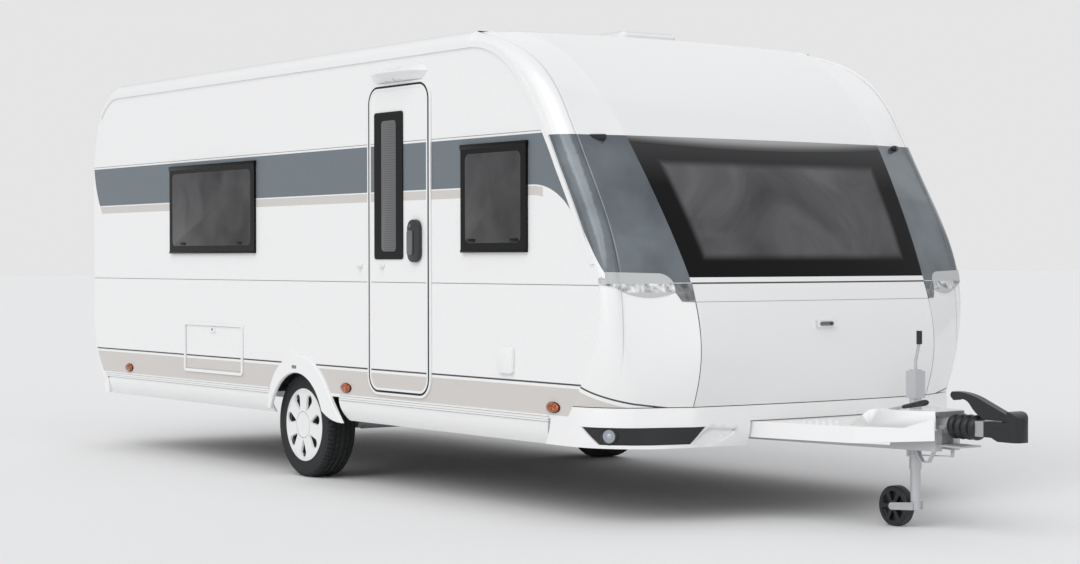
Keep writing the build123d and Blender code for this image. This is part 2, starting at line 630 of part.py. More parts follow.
# Jockey wheel
outer_foot, inner_top, crown_top, crown_foot = 292.0, 600.0, 132.0, 91.0
axle_x = jockey_x - jockey_trail
outer = rod((jockey_x, 0, outer_foot), (jockey_x, 0, jockey_top), jockey_tube_r)
outer += block((jockey_x - 33, jockey_x + 33), (-33, 33), (640, jockey_top - 6))      # gear housing
outer -= rod((jockey_x, 0, 200), (jockey_x, 0, jockey_top - 10), jockey_inner_r + running_gap)
crank = rod((jockey_x, 0, jockey_top - 5), (jockey_x, 0, 836), 8)
crank += across(outline((jockey_x - 6, 820), [
    (None, (jockey_x + 6, 820)), (None, (jockey_x + 31, 912)), (None, (jockey_x + 17, 912))]), -5, 5)
crank += rod((jockey_x + 25, 0, 906), (jockey_x + 25, 0, 971), 14)
save("jockey_outer_tube", outer + crank)
spigot_r = 14.0
inner_tube = rod((jockey_x, 0, crown_top), (jockey_x, 0, inner_top), jockey_inner_r)
inner_tube += rod((jockey_x, 0, crown_foot + 4), (jockey_x, 0, crown_top + 5), spigot_r)
save("jockey_inner_tube", inner_tube)

# Fork: a crown that turns on the tube's spigot and two flat arms with rounded ends
arm_in, arm_thick, arm_half, jockey_pin_r = 33.0, 5.0, 18.0, 8.0
crown = rod((jockey_x, 0, crown_foot), (jockey_x, 0, crown_top - seat), jockey_inner_r + 1)
fork_arm = across(outline((jockey_x + 14, jockey_wheel_r - 8), [
    (None, (jockey_x + 14, jockey_wheel_r + arm_half + 12)), (None, (axle_x, jockey_wheel_r + arm_half)),
    ((axle_x - arm_half, jockey_wheel_r), (axle_x, jockey_wheel_r - arm_half))]), arm_in, arm_in + arm_thick)
fork = crown + block((jockey_x - 10, jockey_x + 10), (-arm_in - 1, arm_in + 1), (crown_foot + 6, crown_top - 4))
fork = fork + fork_arm + mirrored(fork_arm)
fork -= rod((jockey_x, 0, 50), (jockey_x, 0, 200), spigot_r + running_gap)
fork += rod((axle_x, -arm_in - arm_thick, jockey_wheel_r), (axle_x, arm_in + arm_thick, jockey_wheel_r), jockey_pin_r)
save("jockey_fork", fork)

# Wheel: a solid tyre on a disc with pockets between its spokes
jockey_wheel_half, pocket_count, pocket_depth = 28.0, 6, 20.0
jockey_wheel = rod((axle_x, -jockey_wheel_half, jockey_wheel_r), (axle_x, jockey_wheel_half, jockey_wheel_r), jockey_wheel_r)
jockey_wheel = chamfer(jockey_wheel.edges(), 6)
pocket_face = outline((28, -6), [(None, (68, -24)), ((74, 0), (68, 24)), (None, (28, 6))])
for sign in (-1, 1):
    y = sorted((sign * (jockey_wheel_half + 1), sign * (jockey_wheel_half - pocket_depth)))
    pocket = across(pocket_face, *y)
    for i in range(pocket_count):
        turned_pocket = pocket.rotate(Axis.Y, 360 / pocket_count * (i + 0.5))
        jockey_wheel -= Pos(axle_x, 0, jockey_wheel_r) * turned_pocket
jockey_wheel -= rod((axle_x, -50, jockey_wheel_r), (axle_x, 50, jockey_wheel_r), jockey_pin_r + running_gap)
save("jockey_wheel", jockey_wheel)

brake_x, brake_y, brake_z = 3850.0, -112.0, 568.0
brake_steps = [(3866, 596), (4165, 622), (4165, 650), (3858, 624), (3834, 580), (3834, 556)]
brake = across(outline((3866, 556), [(None, p) for p in brake_steps]), brake_y + 3, brake_y + 15)
brake -= rod((brake_x, -200, brake_z), (brake_x, 0, brake_z), 6 + running_gap)
save("handbrake_lever", brake)

# Corner steadies, folded up under the floor, each hinged on its bracket
steady_z = 455.0
steady_y = half_width - 400
steady_length = 420.0
steady_pin = 8.0
brackets = []
steadies = {"rear": (-2330, 1), "front": (2430, -1)}     # pivot's x, direction of the folded leg
for place, (x, way) in steadies.items():
    for side, sign in (("right", -1), ("left", 1)):
        y = sign * steady_y
        leg = block(sorted((x, x + way * steady_length)), (y - 25, y + 25), (steady_z - 14, steady_z + 14))
        leg += rod((x, y - 25, steady_z), (x, y + 25, steady_z), 18)
        leg += block(sorted((x + way * (steady_length - 20), x + way * (steady_length + 20))), (y - 50, y + 50),
                     (steady_z - 20, steady_z + 20))
        leg -= rod((x, y - 60, steady_z), (x, y + 60, steady_z), steady_pin + running_gap)
        save(f"steady_{place}_{side}", leg)
        pin = rod((x, y - 36, steady_z), (x, y + 36, steady_z), steady_pin)
        for edge in (-1, 1):
            ear = sorted((y + edge * 31, y + edge * 36))
            pin += block((x - 20, x + 20), ear, (steady_z - 18, floor_top - floor_thick))
        brackets.append(pin)
save("steady_brackets", group(*brackets))
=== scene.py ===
"""Looks of a single-axle travel caravan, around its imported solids. Metres, in the frame of the model."""
import json
from math import atan2, cos, pi, radians, sin, sqrt

import bmesh
import bpy
from mathutils import Matrix, Quaternion, Vector


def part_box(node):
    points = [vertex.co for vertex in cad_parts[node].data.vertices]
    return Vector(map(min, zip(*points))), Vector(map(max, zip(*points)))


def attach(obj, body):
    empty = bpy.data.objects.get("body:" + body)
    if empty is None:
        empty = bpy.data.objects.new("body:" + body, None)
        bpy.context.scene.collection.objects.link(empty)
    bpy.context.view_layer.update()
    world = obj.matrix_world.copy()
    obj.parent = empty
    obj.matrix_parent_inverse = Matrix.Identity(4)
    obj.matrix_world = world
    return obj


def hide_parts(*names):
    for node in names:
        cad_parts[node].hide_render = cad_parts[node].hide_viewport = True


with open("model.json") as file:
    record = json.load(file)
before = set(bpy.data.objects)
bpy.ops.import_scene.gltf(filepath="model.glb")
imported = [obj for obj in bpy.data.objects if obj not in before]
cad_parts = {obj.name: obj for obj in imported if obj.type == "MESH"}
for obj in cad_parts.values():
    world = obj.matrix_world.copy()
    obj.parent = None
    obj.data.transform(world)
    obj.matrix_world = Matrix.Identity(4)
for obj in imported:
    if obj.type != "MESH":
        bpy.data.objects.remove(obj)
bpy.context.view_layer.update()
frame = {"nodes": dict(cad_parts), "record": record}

# Camera and daylight
# The caravan is seen from its front right-hand corner with a long lens, a little above the lamps.
# The room is plain and pale, with soft light from above, from ahead and from the door side.
axle = (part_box("rim_right")[0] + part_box("rim_right")[1]) / 2
half_width = -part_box("side_wall_right_lower")[0].y


def place(ahead, left, up):
    """A point given from the ground under the axle."""
    return Vector((axle.x + ahead, left, up))


sensor_width, photo_width, focal_pixels = 0.036, 1080, 2151.9
camera_data = bpy.data.cameras.new("camera")
camera = bpy.data.objects.new("camera", camera_data)
bpy.context.scene.collection.objects.link(camera)
camera_data.lens = focal_pixels * sensor_width / photo_width * 1000
camera_data.clip_end = 400
heading, tilt, roll = radians(144.44), radians(-0.619), radians(0.094)
forward = Vector((cos(tilt) * cos(heading), cos(tilt) * sin(heading), sin(tilt)))
camera.rotation_mode = "QUATERNION"
camera.rotation_quaternion = forward.to_track_quat("-Z", "Y") @ Quaternion((0, 0, 1), -roll)
camera.location = place(11.504, -7.641, 1.327)
bpy.context.scene.camera = camera
bpy.context.scene.view_settings.view_transform = "Standard"


def linear(code):
    """sRGB hex to linear RGBA."""
    parts = [int(code[i:i + 2], 16) / 255 for i in (0, 2, 4)]
    return tuple(c / 12.92 if c <= 0.04045 else ((c + 0.055) / 1.055) ** 2.4 for c in parts) + (1.0,)


def add(tree, kind, *values, **named):
    """Add a node. Values go to its inputs in order, names in lower case to its settings and others to inputs.
    A node given as a value stands for its first output in use."""
    node = tree.nodes.new("ShaderNode" + kind)
    for key in [key for key in named if key.islower()]:
        setattr(node, key, named.pop(key))
    pairs = list(zip([socket for socket in node.inputs if socket.enabled], values))
    pairs += [(node.inputs[key.replace("_", " ")], value) for key, value in named.items()]
    for socket, value in pairs:
        if isinstance(value, (bpy.types.Node, bpy.types.NodeSocket)):
            link(tree, value, socket)
        else:
            socket.default_value = value
    return node


def link(tree, source, socket):
    """Link a node's first output in use, or a socket, to an input."""
    if isinstance(source, bpy.types.Node):
        source = next(output for output in source.outputs if output.enabled)
    tree.links.new(source, socket)


world = bpy.data.worlds.new("room")
bpy.context.scene.world = world
world.use_nodes = True
tree = world.node_tree
tree.nodes.clear()
room_light, room_strength, backdrop = linear("F2F3F5"), 0.60, linear("E5E5E5")
light = add(tree, "Background", Color=room_light, Strength=room_strength)
seen = add(tree, "Background", Color=backdrop, Strength=1.0)
seen_ray = add(tree, "LightPath").outputs["Is Camera Ray"]
add(tree, "OutputWorld", Surface=add(tree, "MixShader", seen_ray, light, seen))

for name, energy, angle, aim in (
        ("key_light", 0.98, 50, (-0.30, 0.62, -0.72)),
        ("nose_light", 0.34, 60, (-0.90, 0.10, -0.42)),
        ("side_light", 0.50, 60, (0.05, 0.95, -0.31)),
        ("far_light", 0.30, 60, (0.35, -0.60, -0.55))):
    sun = bpy.data.lights.new(name, "SUN")
    sun.energy, sun.angle = energy, radians(angle)
    lamp = bpy.data.objects.new(name, sun)
    bpy.context.scene.collection.objects.link(lamp)
    lamp.rotation_mode = "QUATERNION"
    lamp.rotation_quaternion = Vector(aim).to_track_quat("-Z", "Y")


# Studio floor
# A matt pale floor that runs on to the horizon, where it nearly has the colour of the backdrop.
def material(name, base, roughness, **settings):
    """A material with the base colour as hex, and its shader and tree."""
    made = bpy.data.materials.new(name)
    made.use_nodes = True
    shader = made.node_tree.nodes["Principled BSDF"]
    shader.inputs["Base Color"].default_value = linear(base)
    shader.inputs["Roughness"].default_value = roughness
    for key, value in settings.items():
        shader.inputs[key.replace("_", " ")].default_value = value
    return made, shader, made.node_tree


floor_size = 160
flat = bmesh.new()
bmesh.ops.create_grid(flat, x_segments=1, y_segments=1, size=floor_size)
floor_mesh = bpy.data.meshes.new("studio_floor")
flat.to_mesh(floor_mesh)
floor_mesh.materials.append(material("matt_paper", "F0F0F0", 1.0, Specular_IOR_Level=0.0)[0])
studio_floor = bpy.data.objects.new("studio_floor", floor_mesh)
bpy.context.scene.collection.objects.link(studio_floor)

# Side walls
# Aluminium sheet on a foam core, rolled with a fine hammered grain and coated white. Foils in blue-grey
# and sand run along it, with thin dark lines between the sheets.
mm = 0.001


def position(tree):
    """The shaded point of the caravan, and its X, Y and Z, in metres."""
    point = add(tree, "TexCoord").outputs["Object"]
    return point, *add(tree, "SeparateXYZ", point).outputs


def all_of(tree, mask, *others):
    """1 where every mask is 1."""
    for other in others:
        mask = add(tree, "Math", mask, other, operation="MULTIPLY")
    return mask


def between(tree, value, low, high):
    """1 where value lies between low and high."""
    above = add(tree, "Math", value, low, operation="GREATER_THAN")
    return all_of(tree, above, add(tree, "Math", value, high, operation="LESS_THAN"))


def distance(tree, across, up):
    """How far a point lies from another, from its offsets across and up."""
    squares = [add(tree, "Math", offset, offset, operation="MULTIPLY") for offset in (across, up)]
    return add(tree, "Math", add(tree, "Math", *squares, operation="ADD"), operation="SQRT")


def layered(tree, base, *layers):
    """The base colour under layers, each a mask and its colour as hex."""
    colour = linear(base)
    for mask, tone in layers:
        colour = add(tree, "Mix", mask, colour, linear(tone), data_type="RGBA")
    return colour


def grain(tree, shader, size, depth, detail=2.0):
    """Bump of a noise whose lumps are about size across."""
    point = add(tree, "TexCoord").outputs["Object"]
    noise = add(tree, "TexNoise", Vector=point, Scale=1 / size, Detail=detail)
    link(tree, add(tree, "Bump", Height=noise, Distance=depth, Strength=1.0), shader.inputs["Normal"])


coated_white, sand_foil, slate_foil, line_black = "EFEFEF", "CFCBC7", "6C757C", "3A3A3A"
band_top, band_foot, stripe_foot, stripe_gap = 1.970, 1.708, 1.653, 7 * mm
foil_foot, stripe_past = 1.36, 0.09                     # where the upper foils end below and ahead
sweep_x, sweep_r = axle.x + 2.50, 0.46                  # the band's lower edge sweeps down towards the nose
tail_x, tail_z, tail_r = axle.x - 2.263, 2.064, 0.68    # and its rear end is a shallow arc
low_foil, low_line, seam_width = (0.535, 0.676), (0.691, 0.700), 4 * mm
wall_sheet, shader, tree = material("coated_hammered_aluminium", coated_white, 0.42)
_, x, _, z = position(tree)
ahead = add(tree, "Math", x, sweep_x, operation="SUBTRACT")
down = add(tree, "Math", z, band_foot - sweep_r, operation="SUBTRACT")
swept = add(tree, "Math", ahead, 0.0, operation="GREATER_THAN")
level = add(tree, "Mix", swept, down, distance(tree, ahead, down), data_type="FLOAT")
behind = add(tree, "Math", x, tail_x, operation="SUBTRACT")
up = add(tree, "Math", z, tail_z, operation="SUBTRACT")
in_arc = add(tree, "Math", distance(tree, behind, up), tail_r, operation="LESS_THAN")
past_arc = add(tree, "Math", behind, 0.0, operation="GREATER_THAN")
ahead_of_tail = add(tree, "Math", in_arc, past_arc, operation="MAXIMUM")
upper = add(tree, "Math", z, foil_foot, operation="GREATER_THAN")
over_edge = add(tree, "Math", level, sweep_r, operation="GREATER_THAN")
band = all_of(tree, over_edge, add(tree, "Math", z, band_top, operation="LESS_THAN"), upper, ahead_of_tail)
stripe = between(tree, level, sweep_r - (band_foot - stripe_foot), sweep_r - stripe_gap)
stripe_end = add(tree, "Math", ahead, stripe_past, operation="LESS_THAN")
stripe = all_of(tree, stripe, stripe_end, ahead_of_tail, upper)
seams = [(between(tree, z, seam - seam_width / 2, seam + seam_width / 2), tone)
         for seam, tone in ((1.983, "8C8C8C"), (1.195, "787878"))]
colour = layered(tree, coated_white, (band, slate_foil), (stripe, sand_foil),
                 (between(tree, z, *low_foil), sand_foil), (between(tree, z, *low_line), line_black), *seams)
link(tree, colour, shader.inputs["Base Color"])
grain(tree, shader, 12 * mm, 2.0 * mm)


def finish(name, made):
    """Give a solid of the model its material."""
    mesh = frame["nodes"][name].data
    mesh.materials.clear()
    mesh.materials.append(made)


node_body = {node: body for body, nodes in frame["record"]["behaviour"]["bodies"].items() for node in nodes}


def smooth(name, made, sharp=32):
    """A copy of a solid with its triangles merged and its curved faces shaded smooth."""
    form = bmesh.new()
    form.from_mesh(frame["nodes"][name].data)
    bmesh.ops.remove_doubles(form, verts=form.verts, dist=0.02 * mm)
    bmesh.ops.dissolve_limit(form, angle_limit=radians(0.4), verts=form.verts, edges=form.edges)
    mesh = bpy.data.meshes.new(name + "_surface")
    form.to_mesh(mesh)
    form.free()
    mesh.materials.clear()
    mesh.materials.append(made)
    mesh.shade_smooth()
    mesh.set_sharp_from_angle(angle=radians(sharp))
    piece = bpy.data.objects.new(name + "_surface", mesh)
    bpy.context.scene.collection.objects.link(piece)
    weighted = piece.modifiers.new("even_normals", "WEIGHTED_NORMAL")
    weighted.keep_sharp = True
    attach(piece, node_body[name])
    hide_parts(name)


for side in ("right", "left"):
    finish(f"side_wall_{side}_lower", wall_sheet)
    finish(f"side_wall_{side}_upper", wall_sheet)

# Moulded ends and roof
# Glass-fibre mouldings with a smooth gel coat, gloss white. The nose corners are metallic slate from the
# lamps up to the top of the front window, and a crease runs down them beside the wall.
gel_white = "F0F0F0"
gelcoat, shader, tree = material("white_gelcoat", gel_white, 0.28, Coat_Weight=0.3, Coat_Roughness=0.08)
grain(tree, shader, 60 * mm, 0.25 * mm, 1.0)
slate_foot, slate_top, slate_metal = 1.207, 1.957, 0.45
lamp_corner, lamp_slope = place(3.031, 0, 1.336), 1.357     # the slate slopes down to the lamp's outer end
corner_gelcoat, shader, tree = material("slate_and_white_gelcoat", gel_white, 0.26, Coat_Weight=0.5,
                                        Coat_Roughness=0.05)
point, x, y, z = position(tree)
from_lamp = add(tree, "Math", x, lamp_corner.x, operation="SUBTRACT")
slope = add(tree, "Math", from_lamp, lamp_slope, z, operation="MULTIPLY_ADD")
over_slope = add(tree, "Math", slope, lamp_corner.z, operation="GREATER_THAN")
slate = all_of(tree, between(tree, z, slate_foot, slate_top), over_slope)
clouds = add(tree, "TexNoise", Vector=point, Scale=3.2, Detail=3.0)
flake = add(tree, "MapRange", Value=clouds, From_Min=0.35, From_Max=0.7)
tones = add(tree, "Mix", flake, linear("5A6268"), linear("757D83"), data_type="RGBA")
coloured = add(tree, "Mix", slate, linear(gel_white), tones, data_type="RGBA")
# The dark line and the sand field of the wall sweep down to the bumper
fall_x, fall_z, fall_rate = place(2.88, 0, 0).x, 0.697, -0.34
line_half, sand_gap = 5 * mm, 26 * mm
from_fall = add(tree, "Math", x, fall_x, operation="SUBTRACT")
fall = add(tree, "Math", from_fall, fall_rate, fall_z, operation="MULTIPLY_ADD")
lined = between(tree, z, add(tree, "Math", fall, line_half, operation="SUBTRACT"),
                add(tree, "Math", fall, line_half, operation="ADD"))
sand = add(tree, "Math", z, add(tree, "Math", fall, sand_gap, operation="SUBTRACT"), operation="LESS_THAN")
coloured = add(tree, "Mix", sand, coloured, linear(sand_foil), data_type="RGBA")
coloured = add(tree, "Mix", lined, coloured, linear(line_black), data_type="RGBA")
link(tree, coloured, shader.inputs["Base Color"])
link(tree, add(tree, "Math", slate, slate_metal, operation="MULTIPLY"), shader.inputs["Metallic"])
# The crease is a pressed line beside the wall, fading out towards the foot
crease_in, crease_half, crease_deep, crease_fade = 86 * mm, 9 * mm, 5 * mm, (0.72, 0.95)
aside = add(tree, "Math", y, operation="ABSOLUTE")
from_line = add(tree, "Math", aside, half_width - crease_in, operation="SUBTRACT")
off_line = add(tree, "Math", from_line, operation="ABSOLUTE")
valley = add(tree, "MapRange", off_line, 0.0, crease_half, -1.0, 0.0, interpolation_type="SMOOTHSTEP")
fading = add(tree, "MapRange", z, *crease_fade, 0.0, 1.0)
press = add(tree, "Math", valley, fading, operation="MULTIPLY")
link(tree, add(tree, "Bump", Height=press, Distance=crease_deep, Strength=1.0), shader.inputs["Normal"])
smooth("nose_corner_right", corner_gelcoat)
smooth("nose_corner_left", corner_gelcoat)
for name in ("rear_shell", "roof", "front_bumper", "rear_bumper", "drawbar_cover", "wheel_arches",
             "awning_rails", "canopy_light", "roof_lights", "door_frame", "hatch_frame"):
    smooth(name, gelcoat)

# Nose panel, locker lid and skirts
# The panels of the nose have the same gel coat, with painted shade in near black on the faces of their gaps
# and undersides, a dark line over the lid and a grey line across it as painted shade of a bead. The skirt is
# a coated profile whose three grooves are grey lines of painted shade.
panel_white, edge_shade, edge_on = "EDEDED", "141414", 0.85
lid_line, bead_shade_line = (1.200, 1.208), (1.1095, 1.1130)
edge_shaded_gelcoat, shader, tree = material("white_gelcoat_with_painted_shade_edges", panel_white, 0.28, Coat_Weight=0.3,
                                        Coat_Roughness=0.08)
_, _, _, z = position(tree)
# Painted shade: faces that look sideways into the gaps round the panels, or down under them, are painted near
# black.
_, facing_y, facing_z = add(tree, "SeparateXYZ", add(tree, "TexCoord").outputs["Normal"]).outputs
facing_side = add(tree, "Math", facing_y, operation="ABSOLUTE")
sideways = add(tree, "Math", facing_side, edge_on, operation="GREATER_THAN")
downwards = add(tree, "Math", facing_z, -edge_on, operation="LESS_THAN")
edge = add(tree, "Math", sideways, downwards, operation="MAXIMUM")
# The grey line across the lid is painted shade of a bead that is not modelled.
colour = layered(tree, panel_white, (between(tree, z, *lid_line), line_black),
                 (between(tree, z, *bead_shade_line), "A0A0A0"), (edge, edge_shade))
link(tree, colour, shader.inputs["Base Color"])
for name in ("nose_rail", "locker_lid", "nose_panel"):
    smooth(name, edge_shaded_gelcoat)
groove_half = 1.5 * mm
skirt_white, shader, tree = material("white_coated_skirt_profile", gel_white, 0.34, Coat_Weight=0.2)
_, _, _, z = position(tree)
# Painted shade: the skirt's three grooves are grey lines painted into its colour.
groove_shade_lines = [(between(tree, z, groove_z - groove_half, groove_z + groove_half), "A8A8A8")
           for groove_z in (0.4985, 0.5105, 0.5255)]
link(tree, layered(tree, gel_white, *groove_shade_lines), shader.inputs["Base Color"])
smooth("skirts", skirt_white)

# Door and hatch leaves
# The same hammered sheet as the walls, so the stripes run on across them.
for name in ("door_leaf", "hatch_door"):
    smooth(name, wall_sheet)

# Windows
# Double acrylic panes, smoked, with a black border printed round the clear field, hung in front of the wall
# by a black profile along the top. Blinds show as a grey field behind the smoke.
acrylic = material("black_border_acrylic", "0C0C0C", 0.12, IOR=1.49, Specular_IOR_Level=0.22)[0]
smoked, shader, tree = material("smoked_acrylic", "343435", 0.3, IOR=1.49, Specular_IOR_Level=0.3)
point = add(tree, "TexCoord").outputs["Object"]
haze = add(tree, "TexNoise", Vector=point, Scale=3.5, Detail=5.0, Distortion=0.6)
shade = add(tree, "MapRange", Value=haze, From_Min=0.3, From_Max=0.75)
tones = add(tree, "Mix", shade, linear("2C2C2D"), linear("505051"), data_type="RGBA")
link(tree, tones, shader.inputs["Base Color"])
clear_half, clear_foot, clear_top, clear_lean, fade = 0.71, 1.310, 1.840, 0.10, 0.05
brow_z, brow_bow, brow_shade_high = 1.898, 0.040, 0.055        # the band under the nose panel is bowed; painted shade darkens it towards its foot
front_glass, shader, tree = material("smoked_front_acrylic", "0E0E0E", 0.15, IOR=1.49, Specular_IOR_Level=0.2)
point, _, y, z = position(tree)
aside = add(tree, "Math", y, operation="ABSOLUTE")
over_foot = add(tree, "Math", z, clear_foot, operation="SUBTRACT")
spread = add(tree, "Math", over_foot, clear_lean, clear_half, operation="MULTIPLY_ADD")
to_side = add(tree, "Math", spread, aside, operation="SUBTRACT")
to_top = add(tree, "Math", clear_top, z, operation="SUBTRACT")
nearest = add(tree, "Math", to_side, over_foot, operation="MINIMUM")
nearest = add(tree, "Math", nearest, to_top, operation="MINIMUM")
field = add(tree, "MapRange", Value=nearest, From_Min=0.0, From_Max=fade, interpolation_type="SMOOTHSTEP")
haze = add(tree, "TexNoise", Vector=point, Scale=1.8, Detail=5.0, Distortion=1.2)
shade = add(tree, "MapRange", Value=haze, From_Min=0.3, From_Max=0.7)
tones = add(tree, "Mix", shade, linear("404042"), linear("626263"), data_type="RGBA")
# Painted sheen: the black border is painted lighter towards the top.
border_sheen = add(tree, "MapRange", z, 1.70, 1.90)             # the border's sheen grows towards the top
border = add(tree, "Mix", border_sheen, linear("080808"), linear("363637"), data_type="RGBA")
shown = add(tree, "Mix", field, border, tones, data_type="RGBA")
squared = add(tree, "Math", aside, aside, operation="MULTIPLY")
# Painted shade of the recess under the nose panel's lip: a bowed band over the window, grey at its top and
# dark at its foot.
brow = add(tree, "Math", squared, brow_bow, brow_z, operation="MULTIPLY_ADD")
over_brow = add(tree, "Math", z, brow, operation="SUBTRACT")
rise = add(tree, "MapRange", over_brow, 0.0, brow_shade_high, interpolation_type="SMOOTHSTEP")
brow_shade = add(tree, "Mix", rise, linear("4A4A4B"), linear("A6A6A6"), data_type="RGBA")
shown = add(tree, "Mix", add(tree, "Math", z, brow, operation="GREATER_THAN"), shown, brow_shade, data_type="RGBA")
link(tree, shown, shader.inputs["Base Color"])
smooth("front_window", front_glass)
for name in ("side_windows", "rear_window", "door_window"):
    smooth(name, acrylic)


def show(name, form, made, body):
    """Make a mesh object of a bmesh, riding on a body."""
    bmesh.ops.recalc_face_normals(form, faces=form.faces)
    mesh = bpy.data.meshes.new(name)
    form.to_mesh(mesh)
    form.free()
    mesh.materials.append(made)
    mesh.shade_smooth()
    mesh.set_sharp_from_angle(angle=radians(30))
    piece = bpy.data.objects.new(name, mesh)
    bpy.context.scene.collection.objects.link(piece)
    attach(piece, body)
    return piece


def softened_box(form, low, high, thin, corner, edge):
    """Add a box whose corners along one axis are rounded by corner, and its other edges by edge."""
    low, high = Vector(low), Vector(high)
    made = bmesh.ops.create_cube(form, size=1.0)["verts"]
    bmesh.ops.scale(form, vec=high - low, verts=made)
    bmesh.ops.translate(form, vec=(high + low) / 2, verts=made)
    along = Vector([1.0 if i == thin else 0.0 for i in range(3)])

    def lean(e):
        return abs((e.verts[0].co - e.verts[1].co).normalized().dot(along))

    posts = [e for e in {e for v in made for e in v.link_edges} if lean(e) > 0.99]
    rounded = bmesh.ops.bevel(form, geom=posts, offset=corner, segments=6, profile=0.5, affect="EDGES",
                              material=-1)["verts"]
    verts = set(rounded) | {v for v in made if v.is_valid}
    rims = {e for v in verts for e in v.link_edges if lean(e) < 0.01}
    bmesh.ops.bevel(form, geom=list(rims), offset=edge, segments=2, profile=0.5, affect="EDGES", material=-1)


def plate(name, low, high, thin, corner, edge, made, body):
    """A softened box as a piece of its own."""
    form = bmesh.new()
    softened_box(form, low, high, thin, corner, edge)
    return show(name, form, made, body)


def shift(form, geom, by):
    """Move the vertices among the parts that an operator gave."""
    bmesh.ops.translate(form, vec=by, verts=[part for part in geom if isinstance(part, bmesh.types.BMVert)])


def ring(name, low, high, corner, width, front, back, made, body):
    """A flat rounded frame on a wall: low and high are its (x, z) corners, front and back its planes in y."""
    form = bmesh.new()
    verts = bmesh.ops.create_grid(form, x_segments=1, y_segments=1, size=0.5)["verts"]
    for vert in verts:
        vert.co = Vector((low[0] + (vert.co.x + 0.5) * (high[0] - low[0]), back,
                          low[1] + (vert.co.y + 0.5) * (high[1] - low[1])))
    bmesh.ops.bevel(form, geom=verts, offset=corner, segments=10, profile=0.5, affect="VERTICES", material=-1)
    inner = form.faces[:]
    bmesh.ops.inset_region(form, faces=inner, thickness=width, use_even_offset=True, use_boundary=True)
    bmesh.ops.delete(form, geom=inner, context="FACES")
    raised = bmesh.ops.extrude_face_region(form, geom=form.faces[:])["geom"]
    shift(form, raised, (0, front - back, 0))
    return show(name, form, made, body)


border, pane_out = 46 * mm, -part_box("side_windows")[0].y
catch_shares, catch_half, catch_foot, catch_top = (0.17, 0.83), 0.04, 0.050, 0.068
both_walls = (-1.685, -0.490, 1.370, 1.940), (1.852, 2.460, 1.365, 1.932)
window_spans = {"right": both_walls, "left": (*both_walls, (0.100, 0.900, 1.450, 1.940))}
for side, way in (("right", -1), ("left", 1)):
    for number, (x0, x1, z0, z1) in enumerate(window_spans[side]):
        label = f"window_{side}_{number}"
        face = sorted((way * (pane_out - 1 * mm), way * (pane_out + 1 * mm)))
        plate(label + "_field", place(x0 + border, face[0], z0 + border),
              place(x1 - border, face[1], z1 - border), 1, 35 * mm, 0.6 * mm, smoked, "caravan_body")
        rail = sorted((way * half_width, way * (pane_out + 5 * mm)))
        plate(label + "_hinge_rail", place(x0 - 4 * mm, rail[0], z1 - 22 * mm),
              place(x1 + 4 * mm, rail[1], z1 + 6 * mm), 1, 4 * mm, 3 * mm, acrylic, "caravan_body")
        plate(label + "_drip_sill", place(x0, rail[0], z0 - 5 * mm), place(x1, rail[1], z0 + 10 * mm),
              1, 4 * mm, 3 * mm, acrylic, "caravan_body")
        for share in catch_shares:
            middle = x0 + (x1 - x0) * share
            catch = sorted((way * pane_out, way * (pane_out + 4 * mm)))
            plate(f"{label}_catch_{int(share * 100)}", place(middle - catch_half, catch[0], z0 + catch_foot),
                  place(middle + catch_half, catch[1], z0 + catch_top), 1, 5 * mm, 1.5 * mm, acrylic,
                  "caravan_body")

# Entrance door
# A black rubber gasket and white trim frame the leaf. Its narrow fixed pane has a pleated blind, and the lock
# has a grey pull lever in a black housing.
gasket_rubber = material("black_gasket_rubber", "1A1B1C", 0.55, Specular_IOR_Level=0.3)[0]
white_plastic, shader, tree = material("white_moulded_asa", "EFEFEF", 0.35)
grain(tree, shader, 5 * mm, 0.05 * mm)
leaf_low, leaf_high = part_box("door_leaf")
skin, gasket_width, corner_r = leaf_low.y, 11 * mm, 85 * mm
trim_by, trim_width = 2.4 * gasket_width, 1.3 * gasket_width
for name, by, width, proud, let_in, made, body in (
        ("door_gasket", gasket_width, gasket_width - 1 * mm, 3.5 * mm, 6 * mm, gasket_rubber, "caravan_body"),
        ("door_outer_trim", trim_by, trim_width, 2 * mm, 7 * mm, white_plastic, "caravan_body"),
        ("door_leaf_trim", 0.0, 13 * mm, 3 * mm, 1 * mm, white_plastic, "entrance_door")):
    ring(name, (leaf_low.x - by, leaf_low.z - by), (leaf_high.x + by, leaf_high.z + by), corner_r + by, width,
         skin - proud, skin + let_in, made, body)
pleat = 13 * mm
pleated, shader, tree = material("pleated_blind_behind_acrylic", "5A5A5A", 0.3, IOR=1.49,
                                 Specular_IOR_Level=0.3)
_, _, _, z = position(tree)
# The blind is a flat plate: each pleat is painted from dark to light, as painted shade of its folds.
folds = add(tree, "Math", add(tree, "Math", z, 1 / pleat, operation="MULTIPLY"), operation="FRACT")
pleat_shade = add(tree, "MapRange", folds, 0.0, 0.5, interpolation_type="SMOOTHSTEP")
tones = add(tree, "Mix", pleat_shade, linear("4A4B4C"), linear("6A6B6C"), data_type="RGBA")
link(tree, tones, shader.inputs["Base Color"])
low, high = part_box("door_window")
plate("door_window_blind", (low.x + 0.08, low.y - 1 * mm, low.z + 0.045),
      (high.x - 0.07, low.y + 1 * mm, high.z - 0.048), 1, 24 * mm, 0.6 * mm, pleated, "entrance_door")
lock_black, shader, tree = material("black_zinc_casting", "2A2B2D", 0.35)
grain(tree, shader, 3 * mm, 0.1 * mm)
lever_grey, shader, tree = material("grey_enamelled_lever", "6E7072", 0.35, Metallic=0.3)
grain(tree, shader, 3 * mm, 0.05 * mm)
low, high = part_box("door_handle")
